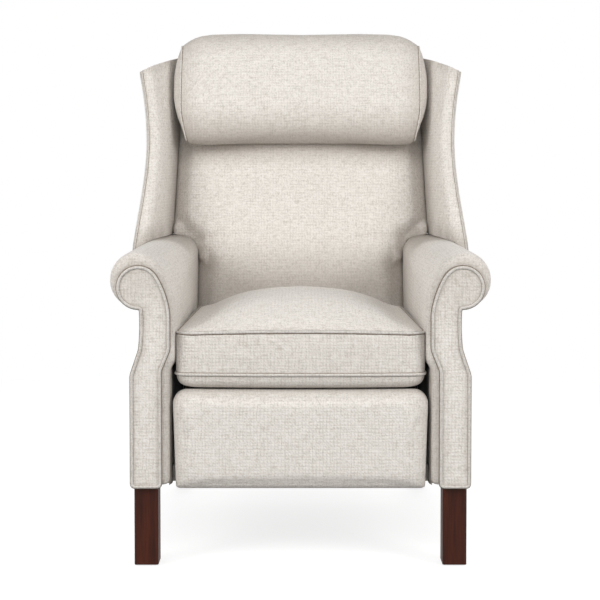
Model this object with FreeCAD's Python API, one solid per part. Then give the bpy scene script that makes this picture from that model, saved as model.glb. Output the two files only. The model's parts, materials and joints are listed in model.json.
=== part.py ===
"""High-leg wing recliner, in millimetres. The sitter looks along -Y.

Heights in this file are measured from the underside of the arms, which stands on the legs.
The save function lifts each piece by the height of the legs, so the floor ends up at z = 0.

The chair has four main parts: a base with rolled arms on square legs, a seat carriage
that glides forward on two pairs of parallel swing links, a winged back hinged to the rear
of the carriage, and a footrest carried by two parallelogram linkages.
Every linkage is a true parallelogram, so its far pins stay in line over the whole travel.
"""
import FreeCAD
import Part
import math
import os

os.makedirs("parts", exist_ok=True)
V = FreeCAD.Vector

# Overall sizes
depth = 920.0
front_y = -depth / 2
back_overhang = 240.0
cut_overrun = 1.0
touch_gap = 0.3
right_angle = 90.0
half_right = 45.0
# how far the middle of a quarter circle lies from its corner, over the radius
corner_share = 1 - math.sqrt(0.5)

# Legs and glides
leg_height = 170.0
leg_width = 50.0
leg_outer_x = 347.0
leg_setback = 12.0
leg_edge_cut = 3.0
rear_leg_inset = 16.0
rear_leg_outer_x = 325.0
rear_leg_rake = 62.0
rear_leg_foot_width = 40.0
glide_height = 3.0
glide_radius = 14.0
bolt_radius = 4.0
leg_stud_length = 80.0
hole_clearance = 0.2
press_gap = 0.05

# Arms: heights from the underside, distances from the middle of the chair
arm_outer_x = 352.0
arm_low_inner_x = 271.0
arm_deck_z = 245.0
arm_step = 10.0
arm_waist_x = 334.0
arm_waist_low_z = 232.0
arm_waist_high_z = 285.0
arm_waist_draw = 3.0
roll_radius = 59.0
roll_centre_x = 339.0
roll_centre_z = 428.0
roll_start_degrees = 95.0
# inner side of the section as (x, z): shoulder start, a point on it, its end, a point on the crest
front_shoulder = ((263.0, 365.0), (272.0, 420.0), (300.0, 466.0), (318.0, 481.0))
rear_shoulder = ((258.0, 442.0), (268.0, 473.0), (297.0, 487.5), (318.0, 488.5))
arm_length = depth - back_overhang
arm_rear_y = front_y + arm_length
arm_edge_round = 12.0
arm_blend_share = 0.735

# Arm facing: the flat panel on the front of each arm
facing_thickness = 8.0
facing_margin = 2.0
facing_head_x = 336.0
facing_head_z = 415.0
facing_head_radius = 42.0
facing_inner_x = 274.0
facing_low_inner_x = 292.0
facing_low_z = 242.0
facing_high_z = 285.0
facing_shoulder_z = 360.0
facing_neck_degrees = -98.0
facing_crown_degrees = 150.0
facing_shoulder_middle = (277.7, 381.2)

# Plywood side inside each arm
frame_thickness = 22.0
frame_front_gap = 34.0
frame_rear_gap = 6.0
frame_top_z = 390.0
block_depth = 70.0
block_height = 60.0
block_width = 52.0

# Cross members of the base
cross_rail_depth = 22.0
cross_rail_height = 32.0
front_rail_setback = 53.0
rear_panel_thickness = 22.0
rear_panel_top_z = 155.0

# Steel linkage: plates stand side by side, from the arm inwards
plate_thickness = 4.0
plate_gap = 1.5
layer_pitch = plate_thickness + plate_gap
head_height = 1.2
head_radius = 8.0
rivet_radius = 4.95
rivet_hole = 5.0
link_half_width = 11.0
lug_half_width = 13.0
ear_half_width = 10.0
strap_half_width = 15.0
base_layer_x = arm_low_inner_x - plate_thickness
swing_layer_x = base_layer_x - layer_pitch
seat_layer_x = swing_layer_x - layer_pitch
rocker_layer_x = seat_layer_x - layer_pitch
thrust_layer_x = rocker_layer_x - layer_pitch

# Swing links of the glide
swing_length = 90.0
swing_lean = 15.0
swing_foot_z = 45.0
front_swing_share = 0.3086
rear_swing_share = 0.7284
base_plate_low_z = 8.0
base_plate_high_z = 80.0
base_plate_end_radius = 13.0
bolt_edge_gap = 13.0
bolt_end_gap = 18.0
bolt_grip = 17.0

# Back hinge and the recline link that drives the glide
hinge_inset = 39.0
hinge_y = arm_rear_y - hinge_inset
hinge_z = 165.0
recline_ear_reach = 5.7
recline_ear_length = 23.3
recline_foot_lead = 22.5
recline_foot_y = hinge_y - recline_foot_lead
recline_foot_z = 20.0
recline_pin_radius = 4.0
recline_pin_play = 1.1
back_lean = 17.0

# Footrest linkage: rockers swing a quarter turn, the long links stay parallel
rocker_angle = 111.0
rocker_length = 150.0
guide_pin_length = 105.0
rocker_setback = 236.0
rocker_pivot_y = front_y + rocker_setback
rocker_pivot_z = 168.0
long_link_rise = 25.0
rear_rocker_spacing = 60.0
long_link_length = 218.0
cross_tube_distance = 100.0
cross_tube_size = 20.0
cross_tube_wall = 2.0

# Seat carriage
seat_plate_half_depth = 18.0
seat_flange_z = 182.0
seat_flange_width = 34.0
seat_rail_x = 243.0
seat_rail_width = 22.0
seat_side_low_z = 152.0
seat_front_rail_setback = 61.0
seat_front_rail_depth = 25.0
seat_rear_rail_lead = 121.0
seat_rear_rail_y = hinge_y - seat_rear_rail_lead
seat_deck_z = 199.0
web_thickness = 1.6
web_width = 50.0
web_gap = 0.4
long_webs = 5
cross_webs = 5

# Seat cushion
cushion_bottom_z = 201.0
cushion_low_welt_z = 232.0
cushion_high_welt_z = 322.0
cushion_top_z = 379.0
cushion_setback = 8.0
cushion_front_y = front_y + cushion_setback
cushion_rear_lead = 131.0
cushion_rear_y = hinge_y - cushion_rear_lead
cushion_front_half = 262.0
cushion_rear_half = 248.0
cushion_corner_radius = 26.0
corner_growth_share = 0.4
corner_limit_share = 0.7
cushion_bow = 8.0
# the round foot below the lower seam: share of its height, and how far the outline has drawn in
cushion_foot = ((0.0, 20.0), (0.2, 8.0), (0.5, 2.5), (1.0, 0.0))
# the dome above the upper seam, in the same way
cushion_dome = ((0.0, 0.0), (0.5, 30.0), (0.85, 95.0), (1.0, 190.0))

# Footrest board and pad
footrest_setback = 6.0
footrest_front_y = front_y + footrest_setback
footrest_half = 266.0
footrest_bottom_z = -7.0
footrest_top_z = 197.0
footrest_corner_radius = 26.0
crown_turn_share = 0.35
footrest_thickness = 46.0
footrest_edge_drop = 12.0
board_thickness = 15.0
board_margin = 24.0
bracket_flange = 30.0

# Back, measured from its hinge: up along the lean and out towards the sitter
back_low_height = 14.0
outside_depth = 42.0
back_panel_thickness = 8.0
post_width = 22.0
post_depth = 97.0
post_front_depth = 64.0
rail_height = 60.0
top_rail_drop = 90.0
middle_rail_share = 0.52
pad_rear_depth = post_front_depth + touch_gap
pad_front_depth = 128.0
pad_crown_depth = 22.0
pad_low_height = 62.0
pad_low_half = 257.0
pad_high_half_low = 322.0
pad_high_half_top = 304.0
back_rest_z = 493.0
wing_foot_z = 458.0
bracket_reach = 150.0
back_top_height = (depth / 2 - hinge_y - outside_depth * math.cos(math.radians(back_lean))) / math.sin(
    math.radians(back_lean))

# Wings: along the back's lean, how far out the front edge is and how far from the middle
wing_stations = (
    (180.0, 306.0, 403.0),
    (250.0, 298.0, 400.0),
    (330.0, 286.0, 390.0),
    (420.0, 262.0, 382.0),
    (512.0, 242.0, 381.0),
    (600.0, 238.0, 388.0),
    (690.0, 250.0, 404.0),
    (800.0, 262.0, 410.0),
)
wing_top_line = ((790.0, 90.0), (690.0, 250.0))
wing_root_thickness = 34.0
wing_tip_radius = 18.0
wing_outer_bulge = 7.0
wing_gap = 0.4

# Head bolster: slices from the left end to the middle, each with how much it is drawn in
bolster_stations = ((-313.0, 44.0), (-296.0, 20.0), (-250.0, 5.0), (-90.0, 0.0))
bolster_low_height = 520.0
bolster_high_height = 822.0
bolster_front_depth = 226.0
bolster_swell = 8.0


def polar(length, degrees):
    """A step in the YZ plane: degrees from straight ahead, turning upwards."""
    turn = math.radians(degrees)
    return (-length * math.cos(turn), length * math.sin(turn))


def shifted(point, step):
    return (point[0] + step[0], point[1] + step[1])


def closed_profile(points, place):
    """A closed wire: after the start, each entry is an end point or an arc's middle and end."""
    edges = []
    here = points[0]
    for step in points[1:] + [points[0]]:
        if isinstance(step[0], tuple):
            middle, end = step
            edges.append(Part.Arc(place(*here), place(*middle), place(*end)).toShape())
        elif step != here:
            end = step
            edges.append(Part.LineSegment(place(*here), place(*end)).toShape())
        here = end
    return Part.Wire(edges)


def box(x0, x1, y0, y1, z0, z1):
    return Part.makeBox(x1 - x0, y1 - y0, z1 - z0, V(x0, y0, z0))


def mirrored(shape):
    return shape.mirror(V(0, 0, 0), V(1, 0, 0))


def save(name, *solids):
    shape = Part.Compound(list(solids)) if len(solids) > 1 else solids[0].copy()
    shape.translate(V(0, 0, leg_height))
    shape.exportStep("parts/" + name + ".step")


def save_pair(name, *solids):
    """The right piece as modelled, on the +X side, and its mirror image on the left."""
    save(name + "_right", *solids)
    save(name + "_left", *[mirrored(solid) for solid in solids])


def save_both(name, *solids):
    """One group for both sides: the solids as modelled and their mirror images."""
    save(name, *solids, *[mirrored(solid) for solid in solids])


def rod(y, z, radius, x0, x1):
    return Part.makeCylinder(radius, x1 - x0, V(x0, y, z), V(1, 0, 0))


def rivet(point, x0, x1, radius=rivet_radius):
    """A rivet through the plates between x0 and x1, with a flat head on each side."""
    y, z = point
    shank = rod(y, z, radius, x0, x1)
    outer = rod(y, z, head_radius, x1, x1 + head_height)
    inner = rod(y, z, head_radius, x0 - head_height, x0)
    return shank.fuse([outer, inner]).removeSplitter()


def drilled(shape, points, x0, radius=rivet_hole):
    holes = [rod(y, z, radius, x0 - cut_overrun, x0 + plate_thickness + cut_overrun) for y, z in points]
    return shape.cut(holes)


def link(a, b, x0, holes, half=link_half_width):
    """A flat link with round ends about the points a and b."""
    along = V(0, b[0] - a[0], b[1] - a[1])
    length = along.Length
    bar = Part.makeBox(plate_thickness, length, 2 * half, V(0, 0, -half))
    ends = [Part.makeCylinder(half, plate_thickness, V(0, y, 0), V(1, 0, 0)) for y in (0, length)]
    shape = bar.fuse(ends).removeSplitter()
    turn = math.degrees(math.atan2(along.z, along.y))
    shape.rotate(V(0, 0, 0), V(1, 0, 0), turn)
    shape.translate(V(x0, a[0], a[1]))
    return drilled(shape, holes, x0)


def rounded_plate(points, x0, radius):
    """A plate whose outline is the hull of circles about the points, in their order."""
    shapes = []
    count = len(points)
    face_points = []
    for i in range(count):
        a, b = points[i], points[(i + 1) % count]
        shapes.append(link(a, b, x0, [], radius))
        face_points.append(V(x0, a[0], a[1]))
    face = Part.Face(Part.makePolygon(face_points + [face_points[0]]))
    shapes.append(face.extrude(V(plate_thickness, 0, 0)))
    return shapes[0].fuse(shapes[1:]).removeSplitter()


# Where the pins are, as (y, z)
carriage_length = hinge_y - rocker_pivot_y
front_swing_y = rocker_pivot_y + front_swing_share * carriage_length
rear_swing_y = rocker_pivot_y + rear_swing_share * carriage_length
swing_step = polar(swing_length, right_angle + swing_lean)
front_foot = (front_swing_y, swing_foot_z)
rear_foot = (rear_swing_y, swing_foot_z)
front_head = shifted(front_foot, swing_step)
rear_head = shifted(rear_foot, swing_step)
hinge = (hinge_y, hinge_z)
recline_ear_pin = (hinge_y + recline_ear_reach, hinge_z - recline_ear_length)
recline_foot = (recline_foot_y, recline_foot_z)
rocker_pivot = (rocker_pivot_y, rocker_pivot_z)
rocker_end = shifted(rocker_pivot, polar(rocker_length, -rocker_angle))
guide_pin = shifted(rocker_pivot, polar(guide_pin_length, -rocker_angle))
rear_step = polar(-rear_rocker_spacing, long_link_rise)
rear_rocker_pivot = shifted(rocker_pivot, rear_step)
rear_rocker_end = shifted(rocker_end, rear_step)
long_step = polar(long_link_length, long_link_rise)
bracket_low_pin = shifted(rocker_end, long_step)
bracket_high_pin = shifted(guide_pin, long_step)


def leg_level(x, y, width, z):
    """A square with its corners cut, about the point (x, y)."""
    half = width / 2
    cut = half - leg_edge_cut
    corners = [(-cut, -half), (cut, -half), (half, -cut), (half, cut),
               (cut, half), (-cut, half), (-half, cut), (-half, -cut), (-cut, -half)]
    return Part.makePolygon([V(x + dx, y + dy, z) for dx, dy in corners])


def stud_hole(x, y):
    return Part.makeCylinder(bolt_radius + hole_clearance, leg_stud_length,
                             V(x, y, -leg_stud_length / 2), V(0, 0, 1))


def leg(x, y, foot_width, rake):
    """A square leg that stands on its glide; a raked one steps back to a narrower foot."""
    levels = [leg_level(x, y, leg_width, 0),
              leg_level(x, y + rake, foot_width, glide_height - leg_height)]
    return Part.makeLoft(levels, True, True).cut(stud_hole(x, y))


def arm_shoulder(share, inset):
    """The inner side of the arm from the front (0) to the rear (1)."""
    points = []
    for (x0, z0), (x1, z1) in zip(front_shoulder, rear_shoulder):
        points.append((x0 + (x1 - x0) * share + inset, z0 + (z1 - z0) * share - inset))
    return points


def circle_point(x, z, radius, degrees):
    turn = math.radians(degrees)
    return (x + radius * math.cos(turn), z + radius * math.sin(turn))


def roll_point(radius, degrees):
    return circle_point(roll_centre_x, roll_centre_z, radius, degrees)


def head_point(degrees):
    return circle_point(facing_head_x, facing_head_z, facing_head_radius, degrees)


def arm_section(y, share, inset=0.0):
    """The section of the arm at y: straight sides, a drawn-in waist and the rolled top."""
    start, rise, end, crest = arm_shoulder(share, inset)
    radius = roll_radius - inset
    outer_x = arm_outer_x - inset
    waist_x = arm_waist_x - inset
    neck = roll_point(radius, -roll_start_degrees)
    waist_mid_z = (arm_waist_high_z + neck[1]) / 2
    points = [
        (arm_low_inner_x, 0),
        (outer_x, 0),
        (outer_x, arm_waist_low_z),
        (waist_x, arm_waist_high_z),
        ((waist_x - arm_waist_draw, waist_mid_z), (neck[0] - inset, neck[1])),
        (roll_point(radius, -half_right), roll_point(radius, 0)),
        (roll_point(radius, half_right), roll_point(radius, right_angle)),
        (crest, end),
        (rise, start),
        (start[0], arm_deck_z + arm_step),
        (arm_low_inner_x, arm_deck_z),
    ]
    return closed_profile(points, lambda x, z: V(x, y, z))


def side_frame():
    """The plywood side inside one arm, and the two blocks beside it that take the legs."""
    x0 = arm_low_inner_x
    x1 = x0 + frame_thickness
    y0 = front_y + frame_front_gap
    y1 = arm_rear_y - frame_rear_gap
    panel = box(x0, x1, y0, y1, 0, frame_top_z)
    blocks = [box(x1, x1 + block_width, y, y + block_depth, 0, block_height)
              for y in (y0, y1 - block_depth)]
    return panel, blocks


def leg_axes():
    """The middle of each right-hand leg's top, as (x, y)."""
    half = leg_width / 2
    return [(leg_outer_x - half, front_y + leg_setback + half),
            (rear_leg_outer_x - half, arm_rear_y - rear_leg_inset - half)]


def build_arm():
    front = front_y + facing_thickness
    stations = [(front, 0.0, arm_edge_round), (front + arm_edge_round, 0.0, 0.0),
                (front + arm_blend_share * arm_length, 1.0, 0.0), (arm_rear_y, 1.0, 0.0)]
    arm = Part.makeLoft([arm_section(*station) for station in stations], True, True)
    panel, blocks = side_frame()
    arm = arm.cut([panel] + blocks)
    studs = []
    stud_holes = []
    for x, y in leg_axes():
        studs.append(Part.makeCylinder(bolt_radius, leg_stud_length, V(x, y, -leg_stud_length / 2),
                                       V(0, 0, 1)))
        stud_holes.append(stud_hole(x, y))
    bolts, bolt_holes = base_bolts()
    save_pair("arm", arm.cut(stud_holes))
    save_pair("side_frame", panel.cut(bolt_holes))
    save_both("leg_blocks", *[block.cut(stud_holes) for block in blocks])
    save_both("base_bolts", *studs, *bolts)


def base_bolt_points():
    """Three bolts per plate: two low ones between the pins, and one high in the middle."""
    low = base_plate_low_z + bolt_edge_gap
    middle = (front_swing_y + rear_swing_y) / 2
    return [(front_swing_y - bolt_end_gap, low), (middle, base_plate_high_z - bolt_edge_gap),
            ((rear_swing_y + recline_foot_y) / 2, low)]


def base_bolts():
    """Bolts that hold the base plate to the side frame, and their holes."""
    bolts, holes = [], []
    for y, z in base_bolt_points():
        shank = rod(y, z, bolt_radius, base_layer_x, arm_low_inner_x + bolt_grip)
        head = rod(y, z, head_radius, base_layer_x - head_height, base_layer_x)
        bolts.append(shank.fuse(head).removeSplitter())
        holes.append(rod(y, z, bolt_radius + hole_clearance, base_layer_x - cut_overrun,
                         arm_low_inner_x + bolt_grip))
    return bolts, holes


def build_facing():
    """The flat front panel of the arm: a straight foot, a slim waist and a round head."""
    outer_x = arm_outer_x - facing_margin
    waist_x = arm_waist_x - facing_margin
    neck = head_point(facing_neck_degrees)
    crown = head_point(facing_crown_degrees)
    points = [
        (facing_low_inner_x, 0),
        (outer_x, 0),
        (outer_x, arm_waist_low_z),
        (waist_x, arm_waist_high_z),
        ((waist_x - arm_waist_draw, (arm_waist_high_z + neck[1]) / 2), neck),
        (head_point(-half_right), head_point(0)),
        (head_point(half_right), head_point(right_angle)),
        (head_point((right_angle + facing_crown_degrees) / 2), crown),
        (facing_shoulder_middle, (facing_inner_x, facing_shoulder_z)),
        (facing_inner_x, facing_high_z),
        (facing_low_inner_x, facing_low_z),
    ]
    wire = closed_profile(points, lambda x, z: V(x, front_y, z))
    panel = Part.Face(wire).extrude(V(0, facing_thickness, 0))
    save_pair("arm_facing", panel)


def build_legs():
    (front_x, front_leg_y), (rear_x, rear_leg_y) = leg_axes()
    save_pair("front_leg", leg(front_x, front_leg_y, leg_width, 0))
    save_pair("rear_leg", leg(rear_x, rear_leg_y, rear_leg_foot_width, rear_leg_rake))
    glides = [Part.makeCylinder(glide_radius, glide_height, V(x, y, -leg_height), V(0, 0, 1))
              for x, y in ((front_x, front_leg_y), (rear_x, rear_leg_y + rear_leg_rake))]
    save_both("leg_glides", *glides)


def build_base_rails():
    y0 = front_y + front_rail_setback
    half = arm_low_inner_x
    save("front_cross_rail", box(-half, half, y0, y0 + cross_rail_depth, 0, cross_rail_height))
    rear_y0 = arm_rear_y - rear_panel_thickness
    save("rear_panel", box(-half, half, rear_y0, arm_rear_y, 0, rear_panel_top_z))


def build_base_plates():
    end = base_plate_end_radius
    low = base_plate_low_z + end
    high = base_plate_high_z - end
    outline = [(front_swing_y - end, low), (front_swing_y - end, high),
               (recline_foot_y, high), (recline_foot_y, low)]
    shape = rounded_plate(outline, base_layer_x, end)
    shape = drilled(shape, [front_foot, rear_foot, recline_foot], base_layer_x)
    shape = drilled(shape, base_bolt_points(), base_layer_x, bolt_radius + hole_clearance)
    save_pair("base_plate", shape)


def flush_rivet(point, x0, x1, radius=rivet_radius):
    """A rivet with its head on the inner side only, where the outer side lies on the arm."""
    y, z = point
    return rod(y, z, radius, x0, x1).fuse(rod(y, z, head_radius, x0 - head_height, x0)).removeSplitter()


def build_swings():
    save_both("front_swing_links", link(front_foot, front_head, swing_layer_x, [front_foot, front_head]))
    save_both("rear_swing_links", link(rear_foot, rear_head, swing_layer_x, [rear_foot, rear_head]))
    base_rivets = [flush_rivet(p, swing_layer_x, base_layer_x + plate_thickness)
                   for p in (front_foot, rear_foot, recline_foot)]
    save_both("base_rivets", *base_rivets)
    recline = link(recline_foot, recline_ear_pin, swing_layer_x, [recline_foot])
    recline = drilled(recline, [recline_ear_pin], swing_layer_x, recline_pin_radius + recline_pin_play)
    save_both("recline_links", recline)


def build_seat_frame():
    """The steel seat plates with their top flange, and the wooden frame that they carry."""
    half = seat_plate_half_depth
    web = rounded_plate([hinge, (rocker_pivot_y, hinge_z), rear_rocker_pivot], seat_layer_x, half)
    lug_rear = link(rear_head, (rear_head[0], hinge_z), seat_layer_x, [], lug_half_width)
    lug_front = link(front_head, (front_head[0], hinge_z), seat_layer_x, [], lug_half_width)
    web = web.fuse([lug_rear, lug_front])
    outer_x = seat_layer_x + plate_thickness
    flange_top = seat_flange_z + plate_thickness
    web = web.cut(box(seat_layer_x - cut_overrun, outer_x + cut_overrun, -depth, hinge_y - half,
                      flange_top, seat_flange_z + 2 * half))
    flange = box(outer_x - seat_flange_width, outer_x, rocker_pivot_y - half, hinge_y - 2 * half,
                 seat_flange_z, flange_top)
    web = web.fuse(flange).removeSplitter()
    pins = [front_head, rear_head, hinge, rocker_pivot, rear_rocker_pivot]
    web = drilled(web, pins, seat_layer_x)
    save_pair("seat_plate", web)
    outward = [rivet(p, seat_layer_x, swing_layer_x + plate_thickness) for p in (front_head, rear_head)]
    inward = [rivet(p, rocker_layer_x, seat_layer_x + plate_thickness)
              for p in (hinge, rocker_pivot, rear_rocker_pivot)]
    save_both("seat_rivets", *outward, *inward)

    x1 = seat_rail_x
    x0 = x1 - seat_rail_width
    front_rail_y = front_y + seat_front_rail_setback
    inner_front = front_rail_y + seat_front_rail_depth
    rear_y = seat_rear_rail_y + seat_rail_width
    rail = box(x0, x1, inner_front, seat_rear_rail_y, seat_side_low_z, seat_flange_z)
    save_both("seat_side_rails", rail)
    save("seat_front_rail", box(-x1, x1, front_rail_y, inner_front, seat_side_low_z, seat_deck_z))
    rear = box(-x1, x1, seat_rear_rail_y, rear_y, seat_side_low_z, seat_flange_z)
    cap = box(-x0, x0, seat_rear_rail_y, rear_y, seat_flange_z, seat_deck_z)
    save("seat_rear_rail", rear.fuse(cap).removeSplitter())
    build_webbing(front_rail_y, x0)


def build_webbing(front_rail_y, half_span):
    """Straps from rail to rail that carry the cushion; the cross straps lie just below."""
    rear = seat_rear_rail_y + seat_rail_width
    straps = []
    usable = 2 * half_span - web_width
    for i in range(long_webs):
        x = -usable / 2 + usable * i / (long_webs - 1)
        straps.append(box(x - web_width / 2, x + web_width / 2, front_rail_y, rear, seat_deck_z,
                          seat_deck_z + web_thickness))
    save("seat_webbing_long", *straps)
    top = seat_deck_z - web_gap
    inner_front = front_rail_y + seat_front_rail_depth
    run = seat_rear_rail_y - inner_front
    cross = []
    for i in range(cross_webs):
        middle = inner_front + run * (i + 0.5) / cross_webs
        y0, y1 = middle - web_width / 2, middle + web_width / 2
        strap = box(-seat_rail_x, seat_rail_x, y0, y1, top - web_thickness, top)
        foot = box(half_span, seat_rail_x, y0, y1, seat_flange_z + plate_thickness, top - web_thickness)
        cross.append(strap.fuse([foot, mirrored(foot)]).removeSplitter())
    save("seat_webbing_cross", *cross)


def plan_outline(half_front, half_rear, y0, y1, r, z):
    """A plan outline with round corners of radius r and a front edge that bows out a little."""
    k = r * corner_share
    start = (-half_front + r, y0)
    points = [
        start,
        ((0, y0 - cushion_bow), (half_front - r, y0)),
        ((half_front - k, y0 + k), (half_front, y0 + r)),
        (half_rear, y1 - r),
        ((half_rear - k, y1 - k), (half_rear - r, y1)),
        (-half_rear + r, y1),
        ((-half_rear + k, y1 - k), (-half_rear, y1 - r)),
        (-half_front, y0 + r),
        ((-half_front + k, y0 + k), start),
    ]
    return closed_profile(points, lambda x, y: V(x, y, z))


def build_cushion():
    """A boxed cushion: straight border between two seams, a domed top and a rounded foot."""
    levels = []
    for low, high, rows in ((cushion_bottom_z, cushion_low_welt_z, cushion_foot),
                            (cushion_high_welt_z, cushion_top_z, cushion_dome)):
        for height_share, inset in rows:
            levels.append((low + height_share * (high - low), inset))
    wires = []
    for z, inset in levels:
        corner = min(cushion_corner_radius + corner_growth_share * inset,
                     corner_limit_share * (cushion_rear_half - inset))
        wires.append(plan_outline(cushion_front_half - inset, cushion_rear_half - inset,
                                  cushion_front_y + cushion_bow + inset, cushion_rear_y - inset, corner, z))
    save("seat_cushion", Part.makeLoft(wires, True, True))


def build_rockers():
    """The links of the footrest: two rockers and two long links on each side."""
    save_pair("front_rocker", link(rocker_pivot, rocker_end, rocker_layer_x,
                                   [rocker_pivot, guide_pin, rocker_end]))
    save_pair("rear_rocker", link(rear_rocker_pivot, rear_rocker_end, rocker_layer_x,
                                  [rear_rocker_pivot, rear_rocker_end]))
    thrust_holes = [rear_rocker_end, rocker_end, bracket_low_pin]
    save_pair("thrust_link", link(rear_rocker_end, bracket_low_pin, thrust_layer_x, thrust_holes))
    save_pair("guide_link", link(guide_pin, bracket_high_pin, thrust_layer_x,
                                 [guide_pin, bracket_high_pin]))
    x1 = rocker_layer_x + plate_thickness
    save_both("front_rocker_rivets", *[rivet(p, thrust_layer_x, x1) for p in (rocker_end, guide_pin)])
    save_both("rear_rocker_rivets", rivet(rear_rocker_end, thrust_layer_x, x1))
    save_both("bracket_rivets", *[rivet(p, thrust_layer_x, x1) for p in (bracket_low_pin, bracket_high_pin)])

    middle = shifted(rocker_end, polar(cross_tube_distance, long_link_rise))
    half = cross_tube_size / 2
    bore = half - cross_tube_wall
    bore_x = thrust_layer_x + cut_overrun
    tube = box(-thrust_layer_x, thrust_layer_x, -half, half, -half, half)
    tube = tube.cut(box(-bore_x, bore_x, -bore, bore, -bore, bore))
    tube.rotate(V(0, 0, 0), V(1, 0, 0), -long_link_rise)
    tube.translate(V(0, middle[0], middle[1]))
    save("cross_tube", tube)


def footrest_outline(inset, y, r):
    """A front view outline with round upper corners and sides that close in downwards."""
    half = footrest_half - inset
    z0 = footrest_bottom_z + inset
    z1 = footrest_top_z - inset
    k = r * corner_share
    start = (-half + r, z1)
    points = [
        start,
        (half - r, z1),
        ((half - k, z1 - k), (half, z1 - r)),
        (half - footrest_edge_drop / 2, z0),
        (-half + footrest_edge_drop / 2, z0),
        (-half, z1 - r),
        ((-half + k, z1 - k), start),
    ]
    return closed_profile(points, lambda x, z: V(x, y, z))


def build_footrest():
    """The padded board that closes the front of the chair, and the brackets behind it."""
    rear_y = footrest_front_y + footrest_thickness
    board_y = rear_y - board_thickness
    crown = footrest_edge_drop
    turn = crown_turn_share * crown
    stations = [(footrest_front_y, crown), (footrest_front_y + turn, turn),
                (footrest_front_y + crown, 0), (rear_y, 0)]
    wires = [footrest_outline(inset, y, footrest_corner_radius) for y, inset in stations]
    pad = Part.makeLoft(wires, True, True)
    board = box(-footrest_half + board_margin, footrest_half - board_margin, board_y, rear_y,
                footrest_bottom_z + board_margin, footrest_top_z - board_margin)
    save("footrest_pad", pad.cut(board))
    save("footrest_board", board)

    x0 = rocker_layer_x
    low, high = bracket_low_pin, bracket_high_pin
    foot_low = footrest_bottom_z + 2 * board_margin
    inner_y = rear_y + link_half_width
    outline = [low, high, (inner_y, high[1]), (inner_y, foot_low + link_half_width)]
    web = rounded_plate(outline, x0, link_half_width)
    beyond = box(x0 - cut_overrun, x0 + plate_thickness + cut_overrun,
                 rear_y - 2 * link_half_width, rear_y, 0, depth)
    web = web.cut(beyond)
    half = footrest_half - board_margin
    flange = box(half - bracket_flange, half, rear_y, rear_y + plate_thickness, foot_low, high[1])
    strap = box(half, x0 + plate_thickness, rear_y, rear_y + plate_thickness, foot_low, high[1])
    bracket = web.fuse([flange, strap]).removeSplitter()
    save_pair("footrest_bracket", drilled(bracket, [low, high], x0))


def back_point(x, up, out):
    """A point of the back: up along the lean from the hinge, and out towards the sitter."""
    lean = math.radians(back_lean)
    return V(x, hinge_y + up * math.sin(lean) - out * math.cos(lean),
             hinge_z + up * math.cos(lean) + out * math.sin(lean))


def back_box(x0, x1, up0, up1, out0, out1):
    shape = Part.makeBox(x1 - x0, out1 - out0, up1 - up0, V(x0, -out1, up0))
    shape.rotate(V(0, 0, 0), V(1, 0, 0), -back_lean)
    shape.translate(V(0, hinge_y, hinge_z))
    return shape


def pad_section(up, half, front, rear):
    """A level slice of the inside back: flat behind, crowned in front with round sides."""
    r = pad_crown_depth
    k = r * corner_share
    points = [
        (-half, rear),
        (half, rear),
        (half, front - r),
        ((half - k, front - k), (half - r, front)),
        ((0, front + pad_crown_depth), (-half + r, front)),
        ((-half + k, front - k), (-half, front - r)),
        (-half, rear),
    ]
    return closed_profile(points, lambda x, out: back_point(x, up, out))


def up_at(z, out):
    """How far up the back the height z is, at a given distance out."""
    lean = math.radians(back_lean)
    return (z - hinge_z - out * math.sin(lean)) / math.cos(lean)


def pad_shoulder_heights():
    """Where the straight sides of the wide upper part of the inside back start and end."""
    lift = pad_crown_depth
    return up_at(back_rest_z, pad_front_depth + lift) - lift, back_top_height - lift


def pad_half(up):
    """Half the width of the upper inside back, along its straight sides and beyond them."""
    low, high = pad_shoulder_heights()
    share = (up - low) / (high - low)
    return pad_high_half_low + (pad_high_half_top - pad_high_half_low) * share


def build_inside_back():
    """The inside back: narrow between the arms and wide above them."""
    lift = pad_crown_depth
    neck_up = up_at(back_rest_z, pad_rear_depth) + lift
    shoulder_up, top_up = pad_shoulder_heights()
    lower_rows = ((pad_low_height, pad_low_half, pad_front_depth - lift),
                  (pad_low_height + lift, pad_low_half, pad_front_depth),
                  (neck_up, pad_low_half, pad_front_depth))
    upper_rows = ((shoulder_up, pad_high_half_low, pad_front_depth),
                  (top_up, pad_high_half_top, pad_front_depth),
                  (back_top_height, pad_high_half_top - lift, pad_front_depth - 2 * lift))
    lower, upper = [Part.makeLoft([pad_section(*row, pad_rear_depth) for row in rows], True, True)
                    for rows in (lower_rows, upper_rows)]
    upper = upper.cut(box(-depth, depth, -depth, depth, 0, back_rest_z))
    save("inside_back", lower.fuse(upper).removeSplitter())


def outside_back_panel(low_half):
    """The outside back: it passes between the arms and widens above them, up to the wings."""
    step_up = up_at(back_rest_z, -outside_depth)
    half = []
    for x, up in ((low_half, back_low_height), (low_half, step_up), (pad_half(step_up), step_up),
                  (pad_half(back_top_height), back_top_height)):
        half.append(back_point(x, up, -outside_depth))
    other_half = [V(-p.x, p.y, p.z) for p in reversed(half)]
    face = Part.Face(Part.makePolygon(half + other_half + [half[0]]))
    return face.extrude(back_point(0, 0, back_panel_thickness) - back_point(0, 0, 0))


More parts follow.
